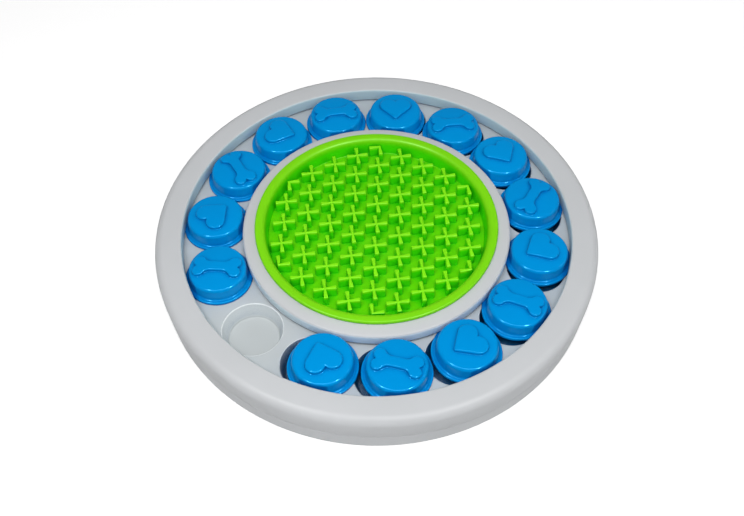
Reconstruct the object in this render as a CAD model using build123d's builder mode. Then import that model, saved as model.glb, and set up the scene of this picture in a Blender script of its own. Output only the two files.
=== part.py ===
from build123d import *
import math
import os

# Sliding-puck treat feeder for dogs: a round tray with a ring of treat cups, a rim and a centre
# ring that hold the pucks down by their flanges, and a soft lick mat that lifts out of the middle.
# Millimetres, +Z up. The origin is on the table, under the centre of the tray.

# ---- Driving dimensions ----------------------------------------------------------------------
# Radii follow each other from the lick mat outwards, heights from the table upwards.

# Lick mat: a soft bowl with a rolled lip and rows of licking crosses
mat_floor_radius = 68.9
mat_flare = 2.1  # how much wider the mouth is than the floor
mat_wall = 2.4
mat_floor_wall = 2.5
mat_lip_reach = 3.5  # lip past the outside of the wall
mat_lip_thickness = 2.5
mat_lip_round = 1.2
mat_foot_round = 1.6
cross_pitch = 17.0
cross_rows = 4  # rows of crosses from the middle to the wall
cross_reach = 7.3  # middle of a cross to the end of an arm, at the floor
cross_height = 6.8
cross_tip_width = 2.5
cross_waist_width = 1.3
cross_draft = 1.0  # degrees, each side
cross_row_angle = 87.6
cross_turn = 8.0
cross_edge_gap = 0.1  # least space between an arm and the wall

# Centre ring: a hollow ring that frames the mat and covers the inner side of the track
mat_side_gap = 0.8
mat_seat_gap = 0.2
ring_band = 10.6
ring_rise = 8.7  # underside of the outer wall to the seat of the mat lip
ring_fall = 1.2  # how much lower its top is at the outer edge
ring_wall = 2.0
ring_edge_round = 1.5
ring_foot_round = 1.0
collar_wall = 1.4
collar_height = 1.8
collar_gap = 0.2

# Pucks: hollow caps with a flange, and a raised heart or bone on top. Their radius follows from
# the length of the track, which they fill but for one place.
barrel_taper = 0.7
flange_ledge = 2.5  # flange past the barrel
flange_thickness = 1.9
flange_edge_round = 0.8
barrel_root_round = 1.2
puck_rise = 7.6  # top of the flange to the top of the puck
puck_edge_round = 1.3
puck_wall = 1.8
motif_rise = 0.9
motif_chamfer = 0.6
heart_lobe_radius = 5.9
heart_lobe_spread = 5.1
heart_lobe_height = 3.9
heart_point_depth = 9.8
heart_point_round = 1.4
bone_end_gap = 1.1  # end of the bone to the rounded edge of the puck
bone_knuckle_spread = 3.45
bone_knuckle_radius = 3.75
bone_shaft_width = 6.6
bone_shaft_round = 4.5
bone_end_round = 0.8

# Track on which the pucks slide
barrel_ring_gap = 0.3
barrel_rim_gap = 0.95
flange_side_gap = 0.4
slide_gap = 0.2  # under and over a flange
deck_height = 20.0
deck_wall = 2.0

# Treat cups under the pucks
cup_count = 15
cup_free_angle = 0.7  # free angle at each cup once the flanges touch
cup_cover_lap = 2.55  # flange past the edge of a cup
cup_depth = 10.5
cup_taper = 3.2
cup_floor_round = 1.2
cup_edge_round = 0.7
cup_wall = 1.6
empty_cup_angle = 224.0
puck_lead_angle = 4.1  # how far the first puck sits past the middle of its cup
loose_share = 0.85  # share of the free angle between the loosely spaced pucks
close_share = 0.21  # share between the closely spaced ones
loose_steps = 5

# Tray skirt, shelf and rim
rim_width = 17.15
rim_rise = 8.7  # underside of the lip to the top
rim_edge_round = 6.8
rim_belt = 1.5  # straight band under the rounded edge
lip_edge_round = 1.3
rim_wall = 2.2
rim_taper = 0.5
foot_stand = 1.2  # table to the lower edge of the skirt
skirt_height = 12.0
skirt_wall = 2.2
skirt_taper = 0.7
seam_chamfer = 0.4
tongue_height = 2.0
tongue_wall = 1.4
tongue_gap = 0.2
kerb_wall = 2.2
shelf_height = 11.0
shelf_wall = 2.0

# Ribs under the deck
rib_width = 1.6
rib_depth = 6.0
hub_radius = 12.0
hub_depth = 9.0
hoop_radius = 48.0

# Screws, bosses and rubber feet
rim_screw_count = 6
ring_screw_count = 5
screw_head_radius = 2.7
screw_head_height = 1.6
screw_shank_radius = 1.4
screw_bite = 8.0  # length of the shank inside its boss
screw_side_gap = 0.3
pilot_gap = 0.05
recess_width = 0.8
recess_depth = 0.9
boss_wall = 1.7
foot_count = 6
foot_radius = 5.5
foot_round = 0.8
foot_depth = 1.4  # how deep a foot sits in its socket
foot_side_gap = 0.2
foot_stem_radius = 1.6
foot_stem_length = 3.5
foot_socket_wall = 1.1

# ---- Sizes that follow -----------------------------------------------------------------------

mat_mouth_radius = mat_floor_radius + mat_flare
mat_outer_radius = mat_mouth_radius + mat_wall
mat_lip_radius = mat_outer_radius + mat_lip_reach
ring_bore_radius = mat_outer_radius + mat_side_gap
ring_radius = ring_bore_radius + ring_band

cup_pitch = 360 / cup_count
puck_count = cup_count - 1
flange_pitch = cup_pitch - cup_free_angle  # flanges just touching
flange_share = math.sin(math.radians(flange_pitch / 2))  # flange radius over track radius
flange_radius = (ring_radius + barrel_ring_gap - flange_ledge) * flange_share / (1 - flange_share)
barrel_radius = flange_radius - flange_ledge
puck_top_radius = barrel_radius - barrel_taper - puck_edge_round
cup_radius = flange_radius - cup_cover_lap

track_radius = ring_radius + barrel_ring_gap + barrel_radius
lip_radius = track_radius + barrel_radius + barrel_rim_gap
overall_radius = lip_radius + rim_width
kerb_radius = track_radius + flange_radius + flange_side_gap
kerb_outer_radius = kerb_radius + kerb_wall

lip_height = deck_height + slide_gap + flange_thickness + slide_gap
rim_top = lip_height + rim_rise
belt_height = rim_top - rim_edge_round - rim_belt
ring_top = lip_height + ring_rise
ring_edge_top = ring_top - ring_fall
seam_height = foot_stand + skirt_height
deck_under = deck_height - deck_wall
shelf_under = shelf_height - shelf_wall
mat_lip_under = ring_top + mat_seat_gap
mat_top = mat_lip_under + mat_lip_thickness
mat_under = deck_height + mat_seat_gap
mat_floor = mat_under + mat_floor_wall
puck_base = deck_height + slide_gap
puck_height = flange_thickness + puck_rise

seam_radius = overall_radius - rim_taper
skirt_foot_radius = seam_radius - skirt_taper
tongue_outer_radius = seam_radius - rim_wall - tongue_gap
tongue_inner_radius = tongue_outer_radius - tongue_wall
pilot_radius = screw_shank_radius + pilot_gap
boss_radius = pilot_radius + boss_wall
cover_boss_circle = (kerb_outer_radius + tongue_inner_radius) / 2
ring_boss_circle = track_radius - flange_radius - flange_side_gap - boss_radius
screw_hole_radius = screw_shank_radius + screw_side_gap
foot_socket_radius = foot_radius + foot_side_gap
foot_boss_radius = foot_socket_radius + foot_socket_wall
foot_circle = skirt_foot_radius - skirt_wall - foot_boss_radius + rib_width / 4

# The knuckles at the ends of the bone keep clear of the rounded edge of the puck
bone_knuckle_circle = puck_top_radius - bone_end_gap - bone_knuckle_radius
bone_half_length = math.sqrt(bone_knuckle_circle**2 - bone_knuckle_spread**2)

spoke_angle = empty_cup_angle + cup_pitch / 2
spoke_tip_radius = track_radius - cup_radius - cup_wall
spoke_circle = (hub_radius - rib_width / 2 + spoke_tip_radius) / 2
spoke_length = spoke_tip_radius - hub_radius + rib_width / 2
ring_screw_angle = empty_cup_angle
rim_screw_angle = 0.0
foot_angle = rim_screw_angle + 180 / foot_count

# How each puck happens to be turned about its own middle, from the first puck counter-clockwise
motif_turns = [107, -15, 213, -22, 207, 59, -61, 5, -90, 8, -16, -59, 45, -4]

os.makedirs("parts", exist_ok=True)


def outline(*corners):
    """Draw a closed outline from (radius, height, corner rounding) points."""
    FilletPolyline(
        *[(across, up) for across, up, rounding in corners],
        radius=[rounding for across, up, rounding in corners],
        close=True,
    )


def save(part, name):
    """Label a finished piece and write it to its own file."""
    part.label = name
    export_step(part, f"parts/{name}.step")


# ---- Base tray -------------------------------------------------------------------------------

with BuildPart() as base_tray:
    # Kerb outside the flanges, shelf, tongue under the rim cover, and skirt
    with BuildSketch(Plane.XZ):
        with BuildLine():
            outline(
                (kerb_radius, shelf_under, 0),
                (kerb_radius, lip_height, 0),
                (kerb_outer_radius, lip_height, 0),
                (kerb_outer_radius, shelf_height, 0),
                (tongue_inner_radius, shelf_height, 0),
                (tongue_inner_radius, seam_height + tongue_height, 0),
                (tongue_outer_radius, seam_height + tongue_height, 0),
                (tongue_outer_radius, seam_height, 0),
                (seam_radius - seam_chamfer, seam_height, 0),
                (seam_radius, seam_height - seam_chamfer, 0),
                (skirt_foot_radius, foot_stand, 0),
                (skirt_foot_radius - skirt_wall, foot_stand, 0),
                (seam_radius - skirt_wall, shelf_under, 0),
            )
        make_face()
    revolve(axis=Axis.Z)

    # Sockets for the rubber feet
    with BuildSketch(Plane.XY.offset(foot_stand)):
        with PolarLocations(foot_circle, foot_count, start_angle=foot_angle):
            Circle(foot_boss_radius)
    extrude(amount=shelf_under - foot_stand)
    with BuildSketch(Plane.XY.offset(foot_stand)):
        with PolarLocations(foot_circle, foot_count, start_angle=foot_angle):
            Circle(foot_socket_radius)
    extrude(amount=foot_depth, mode=Mode.SUBTRACT)
    with BuildSketch(Plane.XY.offset(foot_stand)):
        with PolarLocations(foot_circle, foot_count, start_angle=foot_angle):
            Circle(foot_stem_radius)
    extrude(amount=foot_depth + foot_stem_length, mode=Mode.SUBTRACT)

    # Clearance holes for the screws of the rim
    with BuildSketch(Plane.XY.offset(shelf_under)):
        with PolarLocations(cover_boss_circle, rim_screw_count, start_angle=rim_screw_angle):
            Circle(screw_hole_radius)
    extrude(amount=shelf_wall, mode=Mode.SUBTRACT)

save(base_tray.part, "base_tray")

# ---- Treat cups ------------------------------------------------------------------------------

# Hollow of one treat cup, open through the deck
with BuildPart() as cup_hollow:
    with BuildSketch(Plane.XZ):
        with BuildLine():
            outline(
                (0, deck_height, 0),
                (cup_radius, deck_height, 0),
                (cup_radius - cup_taper, deck_height - cup_depth, cup_floor_round),
                (0, deck_height - cup_depth, 0),
            )
        make_face()
    revolve(axis=Axis.Z)

# One treat cup, hung under the deck
with BuildPart() as treat_cup:
    with BuildSketch(Plane.XZ):
        with BuildLine():
            outline(
                (0, deck_under, 0),
                (cup_radius + cup_wall, deck_under, 0),
                (
                    cup_radius - cup_taper + cup_wall,
                    deck_height - cup_depth - cup_wall,
                    cup_floor_round + cup_wall,
                ),
                (0, deck_height - cup_depth - cup_wall, 0),
            )
        make_face()
    revolve(axis=Axis.Z)
    add(cup_hollow.part, mode=Mode.SUBTRACT)

with BuildPart() as treat_cups:
    with PolarLocations(track_radius, cup_count, start_angle=empty_cup_angle):
        add(treat_cup.part)

save(treat_cups.part, "treat_cups")

# ---- Cup deck --------------------------------------------------------------------------------

with BuildPart() as cup_deck:
    with BuildSketch(Plane.XY.offset(deck_under)):
        Circle(kerb_radius)
    extrude(amount=deck_wall)

    # Mouths of the cups, and clearance holes for the screws of the centre ring
    with PolarLocations(track_radius, cup_count, start_angle=empty_cup_angle):
        add(cup_hollow.part, mode=Mode.SUBTRACT)
    round_edges = cup_deck.edges().filter_by(GeomType.CIRCLE)
    fillet(
        round_edges.filter_by(lambda edge: math.isclose(edge.radius, cup_radius, abs_tol=0.01)),
        cup_edge_round,
    )
    with BuildSketch(Plane.XY.offset(deck_under)):
        with PolarLocations(ring_boss_circle, ring_screw_count, start_angle=ring_screw_angle):
            Circle(screw_hole_radius)
    extrude(amount=deck_wall, mode=Mode.SUBTRACT)

save(cup_deck.part, "cup_deck")

# ---- Deck ribs -------------------------------------------------------------------------------

# A hub, a hoop and spokes that run out to the cups, under the deck
with BuildPart() as deck_ribs:
    with BuildSketch(Plane.XY.offset(deck_under)):
        Circle(hoop_radius + rib_width)
        Circle(hoop_radius, mode=Mode.SUBTRACT)
        with PolarLocations(spoke_circle, cup_count, start_angle=spoke_angle):
            Rectangle(spoke_length, rib_width)
    extrude(amount=-rib_depth)
    with BuildSketch(Plane.XY.offset(deck_under)):
        Circle(hub_radius)
    extrude(amount=-hub_depth)
    with BuildSketch(Plane.XY.offset(deck_under)):
        Circle(hub_radius - rib_width)
    extrude(amount=-hub_depth, mode=Mode.SUBTRACT)

save(deck_ribs.part, "deck_ribs")

# ---- Ring collar -----------------------------------------------------------------------------

# Stands on the deck, inside the bore of the centre ring, and centres the ring
with BuildPart() as ring_collar:
    with BuildSketch(Plane.XY.offset(deck_height)):
        Circle(ring_bore_radius - collar_gap)
        Circle(ring_bore_radius - collar_gap - collar_wall, mode=Mode.SUBTRACT)
    extrude(amount=collar_height)

save(ring_collar.part, "ring_collar")

# ---- Rim cover -------------------------------------------------------------------------------

with BuildPart() as rim_cover:
    # Hollow ring: the lip over the flanges, the flat top, and the outer wall down to the seam
    with BuildSketch(Plane.XZ):
        with BuildLine():
            outline(
                (lip_radius, lip_height, 0),
                (lip_radius, rim_top, lip_edge_round),
                (overall_radius, rim_top, rim_edge_round),
                (overall_radius, belt_height, 0),
                (seam_radius, seam_height, 0),
                (seam_radius - rim_wall, seam_height, 0),
                (overall_radius - rim_wall, belt_height, 0),
                (overall_radius - rim_wall, rim_top - rim_wall, rim_edge_round - rim_wall),
                (lip_radius + rim_wall, rim_top - rim_wall, 0),
                (lip_radius + rim_wall, lip_height, 0),
            )
        make_face()
    revolve(axis=Axis.Z)

    # Screw bosses that stand on the shelf of the tray
    with BuildSketch(Plane.XY.offset(shelf_height)):
        with PolarLocations(cover_boss_circle, rim_screw_count, start_angle=rim_screw_angle):
            Circle(boss_radius)
    extrude(amount=rim_top - rim_wall - shelf_height)
    with BuildSketch(Plane.XY.offset(shelf_height)):
        with PolarLocations(cover_boss_circle, rim_screw_count, start_angle=rim_screw_angle):
            Circle(pilot_radius)
    extrude(amount=screw_bite + pilot_gap, mode=Mode.SUBTRACT)

save(rim_cover.part, "rim_cover")

# ---- Centre ring -----------------------------------------------------------------------------

with BuildPart() as centre_ring:
    # The inner wall stands on the deck and the outer wall stops above the flanges. The top is
    # level under the lip of the mat and falls away from it to the pucks.
    with BuildSketch(Plane.XZ):
        with BuildLine():
            outline(
                (ring_bore_radius, deck_height, 0),
                (ring_bore_radius, ring_top, 0),
                (mat_lip_radius, ring_top, 0),
                (ring_radius, ring_edge_top, ring_edge_round),
                (ring_radius, lip_height, ring_foot_round),
                (ring_radius - ring_wall, lip_height, 0),
                (ring_radius - ring_wall, ring_edge_top - ring_wall, 0),
                (ring_bore_radius + ring_wall, ring_top - ring_wall, 0),
                (ring_bore_radius + ring_wall, deck_height, 0),
            )
        make_face()
    revolve(axis=Axis.Z)

    with BuildSketch(Plane.XY.offset(deck_height)):
        with PolarLocations(ring_boss_circle, ring_screw_count, start_angle=ring_screw_angle):
            Circle(boss_radius)
    extrude(amount=ring_top - ring_wall - deck_height)
    with BuildSketch(Plane.XY.offset(deck_height)):
        with PolarLocations(ring_boss_circle, ring_screw_count, start_angle=ring_screw_angle):
            Circle(pilot_radius)
    extrude(amount=screw_bite + pilot_gap, mode=Mode.SUBTRACT)

save(centre_ring.part, "centre_ring")

# ---- Lick mat --------------------------------------------------------------------------------


def cross_places():
    """List the middle of every cross on the hexagonal lattice of the mat."""
    places = []
    for row in range(-cross_rows, cross_rows + 1):
        for column in range(-cross_rows, cross_rows + 1):
            if abs(row + column) <= cross_rows:
                along = row + column * math.cos(math.radians(60))
                across = column * math.sin(math.radians(60))
                places.append(Vector(along, across).rotate(Axis.Z, cross_row_angle) * cross_pitch)
    return places


def arm_fits(tip):
    """Tell whether an arm that ends at this tip stays clear of the wall."""
    return tip.length + cross_edge_gap <= mat_floor_radius


with BuildPart() as lick_mat:
    with BuildSketch(Plane.XZ):
        with BuildLine():
            outline(
                (0, mat_under, 0),
                (mat_floor_radius + mat_wall, mat_under, mat_foot_round),
                (mat_outer_radius, mat_lip_under, 0),
                (mat_lip_radius, mat_lip_under, 0.4 * mat_lip_round),
                (mat_lip_radius, mat_top, mat_lip_round),
                (mat_mouth_radius, mat_top, mat_lip_round),
                (mat_floor_radius, mat_floor, 0),
                (0, mat_floor, 0),
            )
        make_face()
    revolve(axis=Axis.Z)

save(lick_mat.part, "lick_mat")

# Licking crosses on the floor of the mat: four arms that widen towards their tips. Arms that
# would meet the wall are left out.
with BuildPart() as licking_crosses:
    with BuildSketch(Plane.XY.offset(mat_floor)):
        for place in cross_places():
            for arm_turn in range(4):
                angle = cross_turn + 90 * arm_turn
                tip = place + Vector(cross_reach, 0).rotate(Axis.Z, angle)
                if arm_fits(tip):
                    with Locations(Location((place.X, place.Y), angle)):
                        Polygon(
                            (-cross_waist_width / 2, -cross_waist_width / 2),
                            (cross_waist_width / 2, -cross_waist_width / 2),
                            (cross_reach - cross_tip_width / 3, -cross_tip_width / 2),
                            (cross_reach, -cross_tip_width / 5),
                            (cross_reach, cross_tip_width / 5),
                            (cross_reach - cross_tip_width / 3, cross_tip_width / 2),
                            (cross_waist_width / 2, cross_waist_width / 2),
                            (-cross_waist_width / 2, cross_waist_width / 2),
                            align=None,
                        )
    extrude(amount=cross_height, taper=cross_draft)

save(licking_crosses.part, "licking_crosses")

# ---- Pucks -----------------------------------------------------------------------------------


def heart():
    """Draw a heart that points along -X, centred on its length."""
    reach = math.hypot(heart_lobe_spread, heart_lobe_height + heart_point_depth)
    lean = math.atan2(heart_lobe_spread, heart_lobe_height + heart_point_depth)
    swing = math.asin(heart_lobe_radius / reach)
    touch = math.sqrt(reach**2 - heart_lobe_radius**2)
    side = Vector(touch * math.cos(lean + swing), touch * math.sin(lean + swing))
    with Locations((heart_lobe_height, heart_lobe_spread), (heart_lobe_height, -heart_lobe_spread)):
        Circle(heart_lobe_radius)
    Polygon(
        (-heart_point_depth, 0),
        (side.X - heart_point_depth, -side.Y),
        (heart_lobe_height, -heart_lobe_spread),
        (heart_lobe_height, heart_lobe_spread),
        (side.X - heart_point_depth, side.Y),
        align=None,
    )
    fillet(vertices().sort_by(Axis.X)[0], heart_point_round)


def bone():
    """Draw a bone along X: a shaft with two knuckles at each end."""
    Rectangle(2 * bone_half_length, bone_shaft_width)
    with GridLocations(2 * bone_half_length, 2 * bone_knuckle_spread, 2, 2):
        Circle(bone_knuckle_radius)
    fillet(vertices().filter_by(lambda corner: abs(corner.Y) < bone_end_round), bone_end_round)
    fillet(vertices().filter_by(lambda corner: abs(corner.X) < bone_half_length), bone_shaft_round)


def make_puck(motif, motif_turn):
    """Model one puck about its own middle, its flange face on z = 0."""
    with BuildPart() as puck:
        with BuildSketch(Plane.XZ):
            with BuildLine():
                outline(
                    (0, 0, 0),
                    (flange_radius, 0, 0),
                    (flange_radius, flange_thickness, flange_edge_round),
                    (barrel_radius, flange_thickness, barrel_root_round),
                    (barrel_radius - barrel_taper, puck_height, puck_edge_round),
                    (0, puck_height, 0),
                )
            make_face()
        revolve(axis=Axis.Z)
        with BuildSketch(Plane.XY.offset(puck_height).rotated((0, 0, motif_turn))):
            motif()
        raised = extrude(amount=motif_rise)
        chamfer(raised.faces().sort_by(Axis.Z)[-1].edges(), motif_chamfer)
        with BuildSketch(Plane.XZ):
            with BuildLine():
                outline(
                    (0, 0, 0),
                    (barrel_radius - puck_wall, 0, 0),
                    (barrel_radius - barrel_taper - puck_wall, puck_height - puck_wall, 0),
                    (0, puck_height - puck_wall, 0),
                )
            make_face()
        revolve(axis=Axis.Z, mode=Mode.SUBTRACT)
    return puck.part


puck_angle = empty_cup_angle + cup_pitch + puck_lead_angle
for number in range(puck_count):
    shape, name = (heart, "heart") if number % 2 == 0 else (bone, "bone")
    turn = motif_turns[number % len(motif_turns)]
    turn = turn + 180 if shape is heart else turn
    place = Vector(track_radius, 0).rotate(Axis.Z, puck_angle)
    puck = make_puck(shape, turn).moved(Location((place.X, place.Y, puck_base)))
    save(puck, f"puck_{number + 1:02d}_{name}")
    share = loose_share if number < loose_steps else close_share
    puck_angle += flange_pitch + share * cup_free_angle

# ---- Rubber feet -----------------------------------------------------------------------------

foot_top = foot_stand + foot_depth
stem_top = foot_top + foot_stem_length - pilot_gap
with BuildPart() as rubber_foot:
    with BuildSketch(Plane.XZ):
        with BuildLine():
            outline(
                (0, 0, 0),
                (foot_radius, 0, foot_round),
                (foot_radius, foot_top, 0),
                (foot_stem_radius - pilot_gap, foot_top, 0),
                (foot_stem_radius - pilot_gap, stem_top, 0),
                (0, stem_top, 0),
            )
        make_face()
    revolve(axis=Axis.Z)

for number in range(foot_count):
    place = Vector(foot_circle, 0).rotate(Axis.Z, foot_angle + number * 360 / foot_count)
    save(rubber_foot.part.moved(Location((place.X, place.Y, 0))), f"rubber_foot_{number + 1}")

# ---- Screws ----------------------------------------------------------------------------------


def make_screw(held_wall):
    """Model one pan-head screw; its head touches z = 0 from below and its shank goes up."""
    shank_length = held_wall + screw_bite
    with BuildPart() as screw:
        with BuildSketch(Plane.XZ):
            with BuildLine():
                outline(
                    (0, -screw_head_height, 0),
                    (screw_head_radius, -screw_head_height, screw_head_height / 2),
                    (screw_head_radius, 0, 0),
                    (screw_shank_radius, 0, 0),
                    (screw_shank_radius, shank_length - screw_shank_radius, 0),
                    (0, shank_length, 0),
                )
            make_face()
        revolve(axis=Axis.Z)
        with BuildSketch(Plane.XY.offset(-screw_head_height)):
            Rectangle(screw_head_radius, recess_width)
            Rectangle(recess_width, screw_head_radius)
        extrude(amount=recess_depth, mode=Mode.SUBTRACT)
    return screw.part


rim_screw = make_screw(shelf_wall)
with BuildPart() as rim_screws:
    with PolarLocations(cover_boss_circle, rim_screw_count, start_angle=rim_screw_angle):
        add(rim_screw.moved(Location((0, 0, shelf_under))))

save(rim_screws.part, "rim_screws")

ring_screw = make_screw(deck_wall)
with BuildPart() as ring_screws:
    with PolarLocations(ring_boss_circle, ring_screw_count, start_angle=ring_screw_angle):
        add(ring_screw.moved(Location((0, 0, deck_under))))

save(ring_screws.part, "ring_screws")
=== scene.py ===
import math

import bmesh
import bpy
from mathutils import Matrix, Vector


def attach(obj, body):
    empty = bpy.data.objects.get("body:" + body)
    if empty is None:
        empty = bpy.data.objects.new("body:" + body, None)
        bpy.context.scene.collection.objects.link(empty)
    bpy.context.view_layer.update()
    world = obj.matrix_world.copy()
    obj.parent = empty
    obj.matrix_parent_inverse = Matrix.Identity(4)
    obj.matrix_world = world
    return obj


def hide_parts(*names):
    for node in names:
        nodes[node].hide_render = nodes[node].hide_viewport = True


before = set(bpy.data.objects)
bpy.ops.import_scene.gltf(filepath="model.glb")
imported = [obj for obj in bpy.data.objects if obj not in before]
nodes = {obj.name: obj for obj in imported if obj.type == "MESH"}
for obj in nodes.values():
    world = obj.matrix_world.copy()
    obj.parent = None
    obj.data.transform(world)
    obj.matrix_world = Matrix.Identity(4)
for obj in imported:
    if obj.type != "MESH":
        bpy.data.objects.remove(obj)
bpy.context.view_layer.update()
mm = 0.001
weld = 1e-6  # metres within which two points are one
print("frame loaded:", len(nodes), "nodes")


class Wire:
    # one output that can take part in plain sums
    def __init__(self, shader, socket):
        self.shader = shader
        self.socket = socket

    def sum(self, operation, first, second):
        return self.shader.node("ShaderNodeMath", {"operation": operation}, {0: first, 1: second})

    def __add__(self, other):
        return self.sum("ADD", self, other)

    def __radd__(self, other):
        return self.sum("ADD", other, self)

    def __sub__(self, other):
        return self.sum("SUBTRACT", self, other)

    def __rsub__(self, other):
        return self.sum("SUBTRACT", other, self)

    def __mul__(self, other):
        return self.sum("MULTIPLY", self, other)

    def __rmul__(self, other):
        return self.sum("MULTIPLY", other, self)


class Shader:
    # the nodes of one material, or of the world
    def __init__(self, owner):
        owner.use_nodes = True
        self.tree = owner.node_tree
        self.tree.nodes.clear()

    def node(self, kind, settings=None, values=None, output=0):
        made = self.tree.nodes.new(kind)
        for key, value in (settings or {}).items():
            setattr(made, key, value)
        for key, value in (values or {}).items():
            if isinstance(value, Wire):
                self.tree.links.new(value.socket, made.inputs[key])
            elif isinstance(value, tuple) and made.inputs[key].type == "RGBA":
                made.inputs[key].default_value = (*value, 1)
            else:
                made.inputs[key].default_value = value
        return Wire(self, made.outputs[output]) if made.outputs else None


class Finish(Shader):
    def __init__(self, name):
        self.material = bpy.data.materials.new(name)
        super().__init__(self.material)

    def place(self):
        return self.node("ShaderNodeTexCoord", output="Object")

    def height(self):
        return self.node("ShaderNodeSeparateXYZ", None, {"Vector": self.place()}, output="Z")

    def radius(self):
        # distance from the middle of the tray
        level = {0: self.place(), 1: (1, 1, 0)}
        flat = self.node("ShaderNodeVectorMath", {"operation": "MULTIPLY"}, level)
        return self.node("ShaderNodeVectorMath", {"operation": "LENGTH"}, {0: flat}, output="Value")

    def noise(self, scale, detail, roughness=0.5, stretch=None):
        at = self.place()
        if stretch:
            at = self.node("ShaderNodeMapping", None, {"Vector": at, "Scale": stretch})
        values = {"Vector": at, "Scale": scale, "Detail": detail, "Roughness": roughness}
        return self.node("ShaderNodeTexNoise", None, values)

    def openness(self, reach, low, high):
        # 0 in tight corners, 1 where nothing stands within reach
        values = {"Distance": reach * mm}
        seen = self.node("ShaderNodeAmbientOcclusion", {"samples": 12}, values, output="AO")
        return self.ramp(seen, low, high)

    def ramp(self, value, low, high):
        # 0 at low, 1 at high, smooth between them
        values = {"Value": value, "From Min": low, "From Max": high}
        return self.node("ShaderNodeMapRange", {"interpolation_type": "SMOOTHSTEP"}, values)

    def larger(self, first, second):
        return self.node("ShaderNodeMath", {"operation": "MAXIMUM"}, {0: first, 1: second})

    def blend(self, share, first, second):
        return self.node("ShaderNodeMix", {"data_type": "RGBA"}, {0: share, 6: first, 7: second}, output=2)

    def bump(self, height, strength, distance, under=None):
        values = {"Height": height, "Strength": strength, "Distance": distance}
        if under:
            values["Normal"] = under
        return self.node("ShaderNodeBump", None, values)

    def close(self, values):
        return self.show(self.node("ShaderNodeBsdfPrincipled", None, values))

    def show(self, surface):
        self.node("ShaderNodeOutputMaterial", None, {"Surface": surface})
        return self.material


# what every moulding has: each noise is (scale, detail, roughness), each depth is in metres
mould = {
    "cloud": (18, 3, 0.5), "cloudFrom": 0.35, "cloudTo": 0.65,
    "smear": (60, 4, 0.6),
    "grain": (2600, 2, 0.5), "grainDepth": 0.0002,
    "sink": (35, 1, 0.5), "sinkStrength": 0.04, "sinkDepth": 0.002,
}

# light grey tray plastic, satin from a finely sparked mould
trayLook = {
    "colour": (0.585, 0.600, 0.618),
    "cloud": (0.566, 0.582, 0.598),
    "roughness": 0.44,
    "roughnessSwing": 0.10,
    "grain": 0.08,
    "specular": 0.16,
    "tint": (1.0, 1.0, 1.0),
}

# the same plastic down in the track, with a painted blue reflection of the pucks in its colour
# painted light and shade are (colour, measure, start, end), painted shade in corners is (colour, reach,
# start, end, height limits)
deckLook = {
    **trayLook,
    "colour": (0.540, 0.575, 0.590),
    "cloud": (0.525, 0.560, 0.575),
    "paintedLightAndShade": [
        # painted highlight on the rounded cup mouths
        ((0.860, 0.890, 0.900), "height", 19.90, 19.98),
        # painted light on the cup walls
        ((0.670, 0.715, 0.730), "height", 19.30, 19.60),
        # painted shade on the cup floors
        ((0.520, 0.550, 0.555), "height", 9.6, 12.0),
    ],
    "corners": [
        # painted shade on the deck top beside the rim, the ring and the pucks
        ((0.480, 0.525, 0.550), 14.0, 0.30, 0.85, (19.9, 19.4)),
        # dark blue painted shade, tinted as a painted reflection of the pucks, inside the cups under the
        # pucks
        ((0.000, 0.070, 0.200), 40.0, 0.16, 0.42, (19.4, 19.9), (13.5, 11.0)),
        # the same dark blue painted shade, deeper down in those cups
        ((0.000, 0.070, 0.200), 40.0, 0.12, 0.24, (19.4, 19.9)),
    ],
}
# painted light and a painted blue reflection of the pucks on the ring's outer wall
ringLook = {**trayLook, "paintedLightAndShade": [((0.690, 0.830, 0.900), "radius", 84.9, 84.3)]}
# painted blue-green reflection of the pucks on the rim's inner wall
rimLook = {**trayLook, "paintedLightAndShade": [((0.540, 0.700, 0.715), "radius", 122.7, 123.6)]}

# blue puck plastic, a little glossier
puckLook = {
    "colour": (0.000, 0.300, 0.735),
    "cloud": (0.000, 0.284, 0.705),
    "roughness": 0.18,
    "roughnessSwing": 0.04,
    "grain": 0.015,
    "specular": 0.32,
    "tint": (0.10, 0.60, 1.0),
    # painted shade in the creases at the foot of the raised shape and round the barrel's root
    "corners": [((0.000, 0.130, 0.430), 3.6, 0.64, 0.98)],
}

# lime green soft rubber, with painted shade making it a deeper green down in the bowl and in its corners
matLook = {
    "colour": (0.218, 0.735, 0.006),
    "cloud": (0.204, 0.710, 0.005),
    "roughness": 0.36,
    "roughnessSwing": 0.10,
    "grain": 0.04,
    "specular": 0.30,
    "tint": (0.6, 1.0, 0.4),
    "paintedLightAndShade": [
        # painted shade on the wall of the bowl
        ((0.055, 0.740, 0.000), "height", 28.0, 33.4),
        # painted shade on the floor of the bowl
        ((0.145, 0.670, 0.000), "height", 22.8, 23.6),
    ],
    # painted shade round the foot of the wall and of the crosses
    "corners": [((0.020, 0.500, 0.000), 9.0, 0.25, 0.72)],
}

# the same rubber on the crosses, with painted light on the thin tops and painted shade down the walls and
# in the corners
crossLook = {
    **matLook,
    # a lighter copy of the rubber for the tops, painted light
    "colour": (0.250, 0.860, 0.008),
    "cloud": (0.235, 0.840, 0.007),
    "roughness": 0.38,
    # painted shade down the walls of the blades
    "paintedLightAndShade": [((0.050, 0.720, 0.000), "height", 27.5, 30.1)],
    # painted shade in the inner corners of the crosses
    "corners": [((0.015, 0.460, 0.000), 5.0, 0.25, 0.78)],
}

# black rubber of the feet
footLook = {
    "colour": (0.022, 0.023, 0.024),
    "cloud": (0.030, 0.031, 0.032),
    "roughness": 0.72,
    "roughnessSwing": 0.15,
    "grain": 0.30,
    "specular": 0.35,
    "tint": (1.0, 1.0, 1.0),
}

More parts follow.
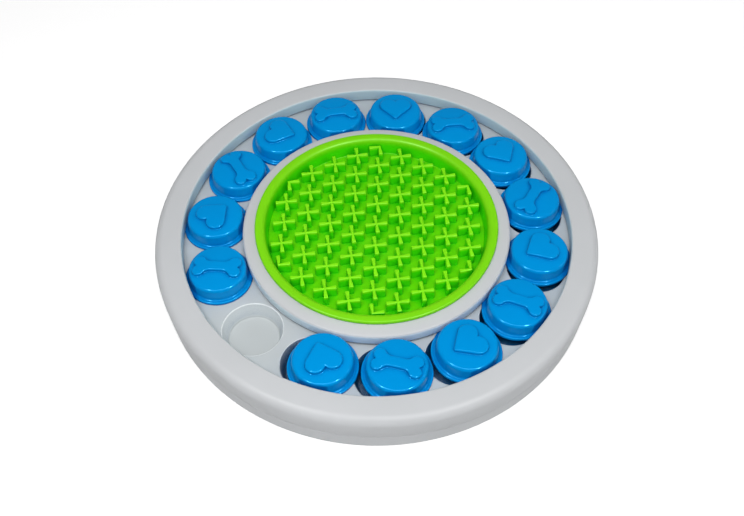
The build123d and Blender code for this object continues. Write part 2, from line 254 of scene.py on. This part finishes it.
# bright steel of the screws, brushed along their length
steelLook = {
    "colour": (0.56, 0.56, 0.54),
    "cloud": (0.47, 0.47, 0.46),
    "roughness": 0.30,
    "roughnessSwing": 0.18,
    "spots": (900, 3), "spotsFrom": 0.3, "spotsTo": 0.7,
    "grain": (5200, 2, 0.5, (1, 1, 0.15)), "grainStrength": 0.12, "grainDepth": 0.0001,
}


def moulded(name, look):
    finish = Finish(name)
    cloud = finish.ramp(finish.noise(*mould["cloud"]), mould["cloudFrom"], mould["cloudTo"])
    smear = finish.noise(*mould["smear"])
    grain = finish.noise(*mould["grain"])
    low = finish.bump(finish.noise(*mould["sink"]), mould["sinkStrength"], mould["sinkDepth"])
    colour = finish.blend(cloud, look["colour"], look["cloud"])
    # each painted light or shade is full as far as start and gone past end, in millimetres of height or
    # radius
    for shade, measure, start, end in look.get("paintedLightAndShade", []):
        at = finish.height() if measure == "height" else finish.radius()
        colour = finish.blend(finish.ramp(at, start * mm, end * mm), shade, colour)
    # painted shade in corners is full where no more than start is open within reach, and gone above end
    for shade, reach, start, end, *limits in look.get("corners", []):
        clear = finish.openness(reach, start, end)
        # from the height inside to the height outside the painted shade fades away
        for inside, outside in limits:
            clear = finish.larger(clear, finish.ramp(finish.height(), inside * mm, outside * mm))
        colour = finish.blend(clear, shade, colour)
    return finish.close({
        "Base Color": colour,
        "Roughness": look["roughness"] + look["roughnessSwing"] * (smear - 0.5),
        "Normal": finish.bump(grain, look["grain"], mould["grainDepth"], low),
        "Specular IOR Level": look["specular"],
        "Specular Tint": look["tint"],
    })


def steel(name, look):
    finish = Finish(name)
    spots = finish.ramp(finish.noise(*look["spots"]), look["spotsFrom"], look["spotsTo"])
    grain = finish.noise(*look["grain"])
    return finish.close({
        "Base Color": finish.blend(spots, look["colour"], look["cloud"]),
        "Metallic": 1.0,
        "Roughness": look["roughness"] + look["roughnessSwing"] * (spots - 0.5),
        "Normal": finish.bump(grain, look["grainStrength"], look["grainDepth"]),
    })


trayFinish = moulded("trayPlastic", trayLook)
deckFinish = moulded("deckPlastic", deckLook)
ringFinish = moulded("ringPlastic", ringLook)
rimFinish = moulded("rimPlastic", rimLook)
puckFinish = moulded("puckPlastic", puckLook)
matFinish = moulded("matRubber", matLook)
crossFinish = moulded("crossRubber", crossLook)
footFinish = moulded("footRubber", footLook)
screwFinish = steel("screwSteel", steelLook)
print("finishes ready")


def turnWhole(bm, corners, steps):
    # turns a closed outline of (radius, height) corners once round Z
    points = [bm.verts.new((radius * mm, 0, height * mm)) for radius, height in corners]
    lines = [bm.edges.new(pair) for pair in zip(points, points[1:] + points[:1])]
    bmesh.ops.spin(
        bm, geom=points + lines, cent=(0, 0, 0), axis=(0, 0, 1), angle=2 * math.pi, steps=steps,
        use_merge=True,
    )
    bmesh.ops.remove_doubles(bm, verts=bm.verts, dist=weld)
    bmesh.ops.recalc_face_normals(bm, faces=bm.faces)


def hoop(bm, radius, height):
    # the edges that lie on one circle about Z
    def on(vert):
        across, up = vert.co.xy.length - radius * mm, vert.co.z - height * mm
        return abs(across) < 2 * weld and abs(up) < 2 * weld

    return [edge for edge in bm.edges if on(edge.verts[0]) and on(edge.verts[1])]


def roundOff(bm, edges, width, segments):
    bmesh.ops.bevel(
        bm, geom=edges, offset=width * mm, offset_type="OFFSET", segments=segments, profile=0.5,
        affect="EDGES", material=-1, clamp_overlap=True,
    )


def turned(corners, steps):
    # a turned piece from (radius, height, rounding, segments) corners
    bm = bmesh.new()
    turnWhole(bm, [(radius, height) for radius, height, rounding, segments in corners], steps)
    for radius, height, rounding, segments in corners:
        if rounding:
            roundOff(bm, hoop(bm, radius, height), rounding, segments)
    return bm


def faceUp(face):
    face.normal_update()
    if face.normal.z < 0:
        face.normal_flip()


def keep(bm, name, finish, body, replaced, sharp=35):
    mesh = bpy.data.meshes.new(name)
    bm.to_mesh(mesh)
    bm.free()
    mesh.polygons.foreach_set("use_smooth", [True] * len(mesh.polygons))
    mesh.set_sharp_from_angle(angle=math.radians(sharp))
    mesh.materials.append(finish)
    piece = bpy.data.objects.new(name, mesh)
    bpy.context.scene.collection.objects.link(piece)
    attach(piece, body)
    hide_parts(*replaced)


rim = {
    "lipRadius": 122.85, "outerRadius": 140.0, "seamRadius": 139.5, "wall": 2.2,
    "lipHeight": 22.3, "top": 31.0, "seamHeight": 13.2, "beltHeight": 22.7,
    "edgeRound": 5.6, "lipRound": 1.3, "insideRound": 4.6, "cornerRound": 0.25, "steps": 320,
}


def makeRim():
    r = rim
    return turned([
        (r["lipRadius"], r["lipHeight"], r["cornerRound"], 2),
        (r["lipRadius"], r["top"], r["lipRound"], 5),
        (r["outerRadius"], r["top"], r["edgeRound"], 12),
        (r["outerRadius"], r["beltHeight"], 0, 0),
        (r["seamRadius"], r["seamHeight"], r["cornerRound"], 2),
        (r["seamRadius"] - r["wall"], r["seamHeight"], 0, 0),
        (r["outerRadius"] - r["wall"], r["beltHeight"], 0, 0),
        (r["outerRadius"] - r["wall"], r["top"] - r["wall"], r["insideRound"], 4),
        (r["lipRadius"] + r["wall"], r["top"] - r["wall"], 0, 0),
        (r["lipRadius"] + r["wall"], r["lipHeight"], 0, 0),
    ], r["steps"])


keep(makeRim(), "rimCover", rimFinish, "tray", ["rim_cover"])
print("rim cover made")

ring = {
    "bore": 74.2, "seat": 76.9, "radius": 84.8, "wall": 2.0,
    "deck": 20.0, "lipHeight": 22.3, "top": 31.0, "fall": 1.2,
    "edgeRound": 1.5, "footRound": 1.0, "boreRound": 0.6, "steps": 288,
}


def makeRing():
    # flat under the lip of the mat, then falling a little towards the track
    r = ring
    return turned([
        (r["bore"], r["deck"], 0, 0),
        (r["bore"], r["top"], r["boreRound"], 3),
        (r["seat"], r["top"], 0, 0),
        (r["radius"], r["top"] - r["fall"], r["edgeRound"], 6),
        (r["radius"], r["lipHeight"], r["footRound"], 3),
        (r["radius"] - r["wall"], r["lipHeight"], 0, 0),
        (r["radius"] - r["wall"], r["top"] - r["fall"] - r["wall"], 0, 0),
        (r["bore"] + r["wall"], r["top"] - r["wall"], 0, 0),
        (r["bore"] + r["wall"], r["deck"], 0, 0),
    ], r["steps"])


keep(makeRing(), "centreRing", ringFinish, "tray", ["centre_ring"])
print("centre ring made")

mat = {
    "floorRadius": 68.9, "footRadius": 71.3, "mouthRadius": 71.0, "outerRadius": 73.4, "lipRadius": 76.9,
    "under": 20.2, "floor": 22.7, "lipUnder": 31.2, "top": 33.7,
    "footRound": 1.6, "floorRound": 0.5, "lipUnderRound": 0.48, "lipRound": 1.2, "mouthRound": 2.6,
    "steps": 288,
}
# the faint ring where the mould was filled
gateMark = {"inner": 7.25, "crest": 7.6, "outer": 7.95, "rise": 0.12}
cross = {
    "pitch": 17.0, "rows": 4, "rowAngle": 87.6, "turn": 8.0, "reach": 7.3, "height": 7.5,
    "waist": 1.05, "tip": 1.60, "corner": 0.80, "cornerCut": 0.3, "draft": 0.25, "topRound": 0.60,
    "wallGap": 0.1,
}


def makeMat():
    # a bowl with a rolled lip
    m, g = mat, gateMark
    return turned([
        (0, m["under"], 0, 0),
        (m["footRadius"], m["under"], m["footRound"], 4),
        (m["outerRadius"], m["lipUnder"], 0, 0),
        (m["lipRadius"], m["lipUnder"], m["lipUnderRound"], 2),
        (m["lipRadius"], m["top"], m["lipRound"], 6),
        (m["mouthRadius"], m["top"], m["mouthRound"], 8),
        (m["floorRadius"], m["floor"], m["floorRound"], 3),
        (g["outer"], m["floor"], 0, 0),
        (g["crest"], m["floor"] + g["rise"], 0, 0),
        (g["inner"], m["floor"], 0, 0),
        (0, m["floor"], 0, 0),
    ], m["steps"])


def crossCentres():
    # a hexagon of places, each with six neighbours at the pitch
    turn = Matrix.Rotation(math.radians(cross["rowAngle"]), 3, "Z")
    rows = range(-cross["rows"], cross["rows"] + 1)
    centres = []
    for row in rows:
        for column in rows:
            if abs(row + column) <= cross["rows"]:
                across = row + column * math.cos(math.pi / 3)
                spot = Vector((across, column * math.sin(math.pi / 3), 0))
                spot.rotate(turn)
                centres.append(spot * cross["pitch"])
    return centres


def crossOutline(arms):
    # corners of a cross with only some of its arms, counter-clockwise, in millimetres
    waist, tip, reach, corner = cross["waist"], cross["tip"], cross["reach"], cross["corner"]
    cut = cross["cornerCut"] * corner
    side = [(reach - corner, tip), (reach - cut, tip - cut), (reach, tip - corner)]
    outline = []
    for arm in range(4):
        turn = Matrix.Rotation(math.radians(90 * arm), 3, "Z")
        corners = [(x, -y) for x, y in side] + list(reversed(side)) if arms[arm] else [(waist, 0)]
        outline += [turn @ Vector((x, y, 0)) for x, y in corners + [(waist, waist)]]
    return outline


def addCross(bm, centre, arms):
    # one cross: a drafted blade for each arm, with soft top edges
    turn = Matrix.Rotation(math.radians(cross["turn"]), 4, "Z")
    at = Matrix.Translation((centre.x * mm, centre.y * mm, mat["floor"] * mm)) @ turn
    part = bmesh.new()
    top = part.faces.new([part.verts.new(corner * mm) for corner in crossOutline(arms)])
    faceUp(top)
    bmesh.ops.inset_region(
        part, faces=[top], thickness=cross["draft"] * mm, depth=cross["height"] * mm,
        use_boundary=True, use_even_offset=True,
    )
    roundOff(part, list(top.edges), cross["topRound"], 4)
    bmesh.ops.transform(part, matrix=at, verts=part.verts)
    spare = bpy.data.meshes.new("spare")
    part.to_mesh(spare)
    part.free()
    bm.from_mesh(spare)
    bpy.data.meshes.remove(spare)


def makeCrosses():
    bm = bmesh.new()
    for centre in crossCentres():
        # an arm that would run into the wall of the bowl is left out
        arms = []
        for arm in range(4):
            angle = math.radians(cross["turn"] + 90 * arm)
            tip = centre + cross["reach"] * Vector((math.cos(angle), math.sin(angle), 0))
            arms.append(tip.length + cross["wallGap"] <= mat["floorRadius"])
        if any(arms):
            addCross(bm, centre, arms)
    return bm


keep(makeMat(), "lickMat", matFinish, "lick_mat", ["lick_mat"])
keep(makeCrosses(), "lickingCrosses", crossFinish, "lick_mat", ["licking_crosses"], 50)
print("lick mat made")

puck = {
    "flangeRadius": 20.9, "flangeThickness": 1.9, "flangeRound": 0.8,
    "barrelRadius": 18.4, "taper": 0.7, "rootRound": 1.2,
    "height": 9.9, "edgeRound": 1.6, "topRing": 1.7, "wall": 1.8, "steps": 96,
    "crown": 1.5, "crownCuts": 8, "crownStep": 1.9,
}
train = {
    "trackRadius": 103.5, "base": 20.2, "firstAngle": 252.1,
    "looseStep": 23.895, "looseSteps": 5, "closeStep": 23.447,
    "turns": [107, -15, 213, -22, 207, 59, -61, 5, -90, 8, -16, -59, 45, -4],
}
heart = {
    "lobe": 6.4, "spread": 5.0, "lobeHeight": 3.6, "point": 11.1, "pointRound": 1.9,
    "lobeSteps": 22, "pointSteps": 4,
}
bone = {
    "halfLength": 11.0, "spread": 3.45, "knuckle": 4.3, "shaft": 3.85, "shaftRound": 4.0,
    "knuckleSteps": 16, "shaftSteps": 6,
}
# how the raised shape climbs from the top of the puck: (inwards, upwards)
climb = [
    (0.16, 0.04), (0.12, 0.14), (0.08, 0.26), (0.06, 0.32), (0.06, 0.34),
    (0.10, 0.26), (0.16, 0.22), (0.22, 0.16), (0.28, 0.09), (0.32, 0.03),
]


def arc(cx, cy, radius, start, end, count):
    # points on an arc, angles in degrees, both ends included
    points = []
    for step in range(count + 1):
        angle = math.radians(start + (end - start) * step / count)
        points.append((cx + radius * math.cos(angle), cy + radius * math.sin(angle)))
    return points


def heartOutline():
    # a heart that points along +X
    h = heart
    depth = h["lobeHeight"] + h["point"]
    lean = math.degrees(math.atan2(h["spread"], depth))
    side = lean + math.degrees(math.asin(h["lobe"] / math.hypot(h["spread"], depth)))
    inset = h["pointRound"] / math.sin(math.radians(side))
    cleft = math.degrees(math.acos(h["spread"] / h["lobe"]))
    half = arc(h["point"] - inset, 0, h["pointRound"], 0, 90 - side, h["pointSteps"])
    half += arc(-h["lobeHeight"], h["spread"], h["lobe"], 90 - side, 270 - cleft, h["lobeSteps"])
    return half + [(x, -y) for x, y in reversed(half[1:-1])]


def boneOutline():
    # a bone along X
    b = bone
    # where the concave rounding between shaft and knuckle touches both
    up = b["shaft"] + b["shaftRound"]
    rise = up - b["spread"]
    along = math.sqrt((b["knuckle"] + b["shaftRound"]) ** 2 - rise**2)
    meet = math.degrees(math.atan2(rise, -along))
    notch = math.degrees(math.acos(b["spread"] / b["knuckle"]))
    quarter = arc(b["halfLength"], b["spread"], b["knuckle"], notch - 90, meet, b["knuckleSteps"])
    middle = b["halfLength"] - along
    quarter += arc(middle, up, b["shaftRound"], meet - 180, -90, b["shaftSteps"])[1:]
    upper = quarter + [(-x, y) for x, y in reversed(quarter)]
    return upper + [(-x, -y) for x, y in upper[1:-1]]


def puckShell(bm, top, upper):
    # a hollow cup upside down, with the middle of its top left open
    p = puck
    ledge, inner = p["flangeThickness"], top - p["wall"]
    turnWhole(bm, [
        (upper - p["topRing"], top),
        (upper, top),
        (p["barrelRadius"], ledge),
        (p["flangeRadius"], ledge),
        (p["flangeRadius"], 0),
        (p["barrelRadius"] - p["wall"], 0),
        (upper - p["wall"], inner),
        (0, inner),
        (0, top),
    ], p["steps"])
    hub = [vert for vert in bm.verts if vert.co.xy.length < weld and vert.co.z > top * mm - weld]
    bmesh.ops.delete(bm, geom=hub, context="VERTS")
    roundOff(bm, hoop(bm, upper, top), p["edgeRound"], 6)
    roundOff(bm, hoop(bm, p["barrelRadius"], ledge), p["rootRound"], 5)
    roundOff(bm, hoop(bm, p["flangeRadius"], ledge), p["flangeRound"], 4)


def raiseShape(bm, outline, turn, top, openRing):
    # closes the top round the turned outline and lifts what is inside it
    spin = Matrix.Rotation(math.radians(turn), 3, "Z")
    corners = [spin @ Vector((x * mm, y * mm, top * mm)) for x, y in outline]
    shape = bm.faces.new([bm.verts.new(corner) for corner in corners])
    faceUp(shape)
    edges = [edge for edge in hoop(bm, openRing, top) if len(edge.link_faces) == 1]
    bmesh.ops.triangle_fill(bm, edges=list(shape.edges) + edges, use_beauty=True, normal=(0, 0, 1))
    for inwards, upwards in climb:
        bmesh.ops.inset_region(
            bm, faces=[shape], thickness=inwards * mm, depth=upwards * mm,
            use_boundary=True, use_even_offset=True,
        )
    bmesh.ops.triangulate(bm, faces=[shape])


def crownTop(bm, top, radius):
    # cuts the flat top into small faces, then raises its middle
    p = puck
    margin = 10 * weld
    for across in (Vector((1, 0, 0)), Vector((0, 1, 0))):
        for step in range(-p["crownCuts"], p["crownCuts"] + 1):
            faces = [face for face in bm.faces if face.calc_center_median().z > top * mm - margin]
            parts = {part for face in faces for part in (face, *face.edges, *face.verts)}
            middle = across * step * p["crownStep"] * mm
            bmesh.ops.bisect_plane(bm, geom=list(parts), dist=weld, plane_co=middle, plane_no=across)
    for vert in bm.verts:
        if vert.co.z > top * mm / 2:
            vert.co.z += p["crown"] * mm * max(0, 1 - (vert.co.xy.length / (radius * mm)) ** 2)


def makePuck(outline, turn, angle):
    top, upper = puck["height"], puck["barrelRadius"] - puck["taper"]
    bm = bmesh.new()
    puckShell(bm, top, upper)
    raiseShape(bm, outline, turn, top, upper - puck["topRing"])
    crownTop(bm, top, upper)
    about = Matrix.Rotation(math.radians(angle), 4, "Z")
    out = Matrix.Translation((train["trackRadius"] * mm, 0, train["base"] * mm))
    bmesh.ops.transform(bm, matrix=about @ out @ about.inverted(), verts=bm.verts)
    return bm


def makeTrain():
    # hearts and bones in turn, counter-clockwise from the free place
    shapes = [("heart", heartOutline()), ("bone", boneOutline())]
    angle = train["firstAngle"]
    for number, turn in enumerate(train["turns"], 1):
        shape, outline = shapes[(number - 1) % 2]
        keep(
            makePuck(outline, turn, angle), f"puck{number:02d}{shape.capitalize()}", puckFinish,
            f"puck_{number:02d}", [f"puck_{number:02d}_{shape}"], 50,
        )
        angle += train["looseStep"] if number <= train["looseSteps"] else train["closeStep"]


makeTrain()
print("pucks made")

# pieces that keep their own shape
nodeFinishes = {
    "base_tray": trayFinish, "cup_deck": deckFinish, "treat_cups": deckFinish, "deck_ribs": trayFinish,
    "ring_collar": trayFinish, "rim_screws": screwFinish, "ring_screws": screwFinish,
    **{name: footFinish for name in nodes if name.startswith("rubber_foot_")},
}
for name, finish in nodeFinishes.items():
    nodes[name].data.materials.clear()
    nodes[name].data.materials.append(finish)
print("tray, feet and screws finished")

studio = {
    "ambient": 0.315, "glossAmbient": 0.06, "backdrop": 1.0,
    "floorSize": 12.0, "floorWhite": 0.80, "floorGlow": 0.45,
}
# name: place, size across and up, power, what it points at, whether only reflections show it
lamps = {
    "keyBox": ((-0.04, -0.34, 0.74), (0.50, 0.30), 4.5, (0, -0.02, 0), False),
    "sideBox": ((0.80, -0.05, 0.60), (0.30, 0.30), 0.9, (0, 0, 0), False),
    "sparkLeft": ((-0.42, -0.36, 0.78), (0.05, 0.05), 8.0, (0, 0, 0), True),
    "sparkRight": ((0.38, -0.42, 0.74), (0.05, 0.05), 9.0, (0, 0, 0), True),
}
view = {
    "lens": 42.77, "sensor": 36, "clip": (0.01, 50), "distance": 0.58259,
    "elevation": 52.96, "roll": -0.54, "target": (-0.00297, -0.00462, 0.0),
}


def makeFloor():
    bm = bmesh.new()
    bmesh.ops.create_grid(bm, x_segments=1, y_segments=1, size=studio["floorSize"] / 2)
    mesh = bpy.data.meshes.new("floor")
    bm.to_mesh(mesh)
    bm.free()
    finish = Finish("floorPaper")
    camera = finish.node("ShaderNodeLightPath", output="Is Camera Ray")
    paper = finish.node("ShaderNodeBsdfDiffuse", None, {"Color": (studio["floorWhite"],) * 3})
    white = {"Color": (1.0, 1.0, 1.0), "Strength": studio["floorGlow"]}
    glow = finish.node("ShaderNodeEmission", None, white)
    seen = finish.node("ShaderNodeAddShader", None, {0: paper, 1: glow})
    mixed = finish.node("ShaderNodeMixShader", None, {0: camera, 1: paper, 2: seen})
    mesh.materials.append(finish.show(mixed))
    floor = bpy.data.objects.new("floor", mesh)
    bpy.context.scene.collection.objects.link(floor)


def makeWorld():
    # even light on the piece, less of it in reflections, and plain white behind
    world = bpy.data.worlds.new("studio")
    bpy.context.scene.world = world
    shader = Shader(world)

    def even(strength):
        return shader.node("ShaderNodeBackground", None, {"Color": (1, 1, 1), "Strength": strength})

    def swapFor(ray, plain, other):
        met = shader.node("ShaderNodeLightPath", output=ray)
        return shader.node("ShaderNodeMixShader", None, {0: met, 1: plain, 2: other})

    lit = swapFor("Is Glossy Ray", even(studio["ambient"]), even(studio["glossAmbient"]))
    shown = swapFor("Is Camera Ray", lit, even(studio["backdrop"]))
    shader.node("ShaderNodeOutputWorld", None, {"Surface": shown})


def makeLamp(name, place, size, power, target, glossOnly):
    lamp = bpy.data.lights.new(name, "AREA")
    lamp.shape = "RECTANGLE"
    lamp.size, lamp.size_y = size
    lamp.energy = power
    holder = bpy.data.objects.new(name, lamp)
    holder.location = place
    holder.rotation_euler = (Vector(target) - Vector(place)).to_track_quat("-Z", "Y").to_euler()
    holder.visible_diffuse = not glossOnly
    bpy.context.scene.collection.objects.link(holder)


def makeCamera():
    tilt, roll = math.radians(view["elevation"]), math.radians(view["roll"])
    back = Vector((0, -math.cos(tilt), math.sin(tilt)))
    across, up = Vector((1, 0, 0)), Vector((0, math.sin(tilt), math.cos(tilt)))
    right = math.cos(roll) * across + math.sin(roll) * up
    above = math.cos(roll) * up - math.sin(roll) * across
    data = bpy.data.cameras.new("camera")
    data.lens = view["lens"]
    data.sensor_width = view["sensor"]
    data.clip_start, data.clip_end = view["clip"]
    camera = bpy.data.objects.new("camera", data)
    turn = Matrix((right, above, back)).transposed().to_4x4()
    camera.matrix_world = Matrix.Translation(Vector(view["target"]) + back * view["distance"]) @ turn
    bpy.context.scene.collection.objects.link(camera)
    bpy.context.scene.camera = camera


makeFloor()
makeWorld()
for name, lamp in lamps.items():
    makeLamp(name, *lamp)
makeCamera()
bpy.context.scene.view_settings.view_transform = "Standard"
print("studio ready")
